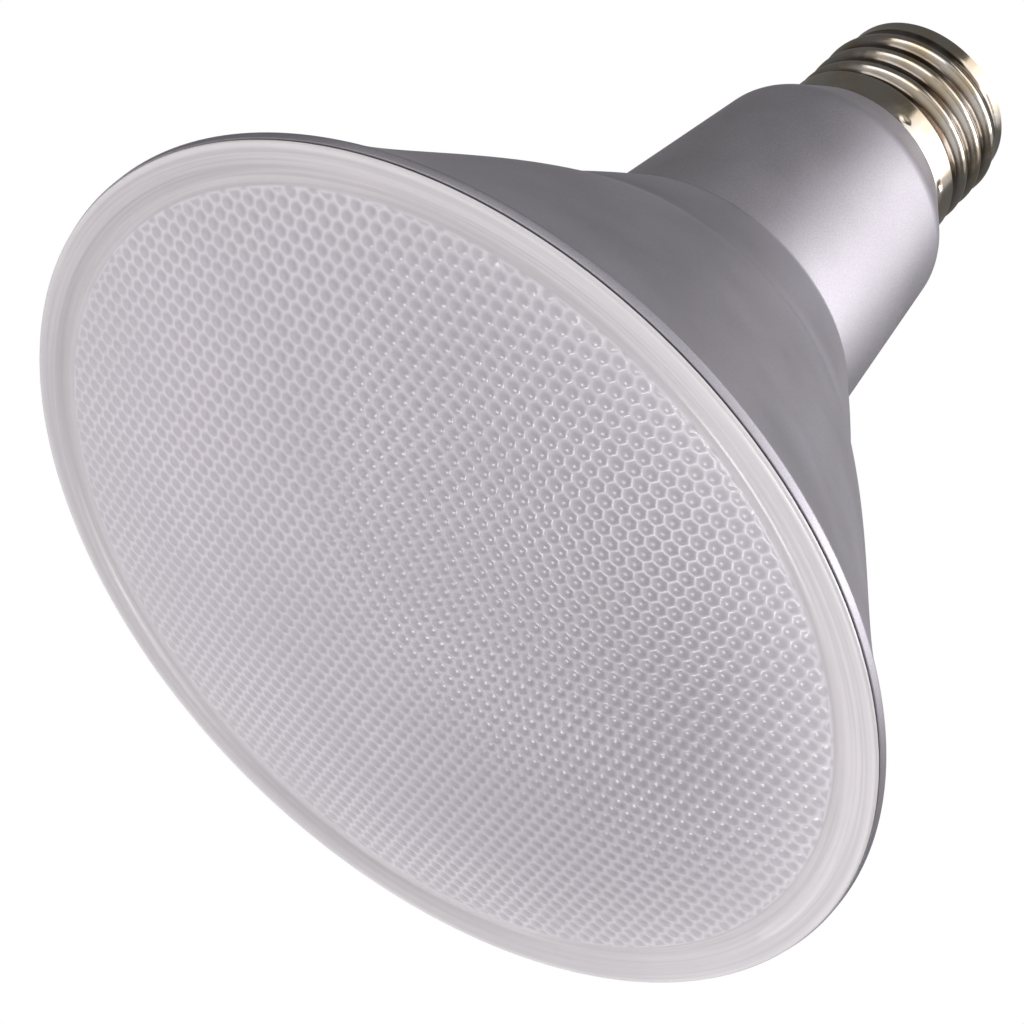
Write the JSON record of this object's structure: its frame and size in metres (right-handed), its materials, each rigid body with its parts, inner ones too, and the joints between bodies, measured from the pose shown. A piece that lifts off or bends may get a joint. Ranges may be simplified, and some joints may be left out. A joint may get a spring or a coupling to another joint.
{
  "type": "par spotlight bulb",
  "caption": "Reflector spotlight lamp: domed honeycomb lens in a flared silver housing with a driver neck and a medium screw base.",
  "frame": {"origin": "front point of the lens dome, on the lamp's axis: the lamp stands on its lens", "axes": "+Z along the lamp's axis from the lens to the screw base; +X and +Y across it, +X along the driver board's width"},
  "size_m": [0.1196, 0.1196, 0.1268],
  "materials": {
    "lens": "semi-gloss moulded clear lens with fine optics, cool white with a faint lilac tint",
    "gasket": "thin grey sealing ring",
    "housing": "satin silver paint",
    "neck": "satin silver paint on moulded plastic",
    "shell": "nickel-plated rolled sheet, polished",
    "insulator": "black moulded insulator",
    "contact": "plated contact",
    "white_plastic": "white moulded plastic",
    "led_board": "white-masked metal-core board",
    "phosphor": "yellow phosphor packages",
    "pad": "grey thermal pad",
    "spreader": "pressed aluminium",
    "steel": "zinc-plated steel",
    "wire": "insulated wire",
    "circuit_board": "green glass-fibre board",
    "ferrite": "dark ferrite",
    "bobbin": "black bobbin plastic",
    "winding": "tape over copper wire",
    "copper": "enamelled copper wire",
    "film_case": "yellow moulded case",
    "can": "sleeved aluminium can",
    "ceramic": "blue coated ceramic disc",
    "resistor": "cement coated resistor",
    "chip": "black moulded package",
    "tinned": "tinned copper wire"
  },
  "bodies": {
    "root": {"lens": "lens", "lens_gasket": "gasket", "reflector_housing": "housing", "driver_housing": "neck", "screw_shell": "shell", "base_insulator": "insulator", "centre_contact": "contact", "inner_reflector": "white_plastic", "led_board": "led_board", "led_packages": "phosphor", "lead_connector": "white_plastic", "led_leads": "wire", "thermal_pad": "pad", "board_screws": "steel", "heat_spreader": "spreader", "driver_board": "circuit_board", "transformer_core": "ferrite", "transformer_bobbin": "bobbin", "transformer_winding": "winding", "film_capacitor": "film_case", "smoothing_capacitor": "can", "choke_core": "ferrite", "choke_winding": "copper", "varistor": "ceramic", "rectifier": "chip", "switching_chip": "chip", "output_diode": "chip", "fusible_resistor": "resistor", "neutral_lead": "tinned"}
  },
  "joints": []
}
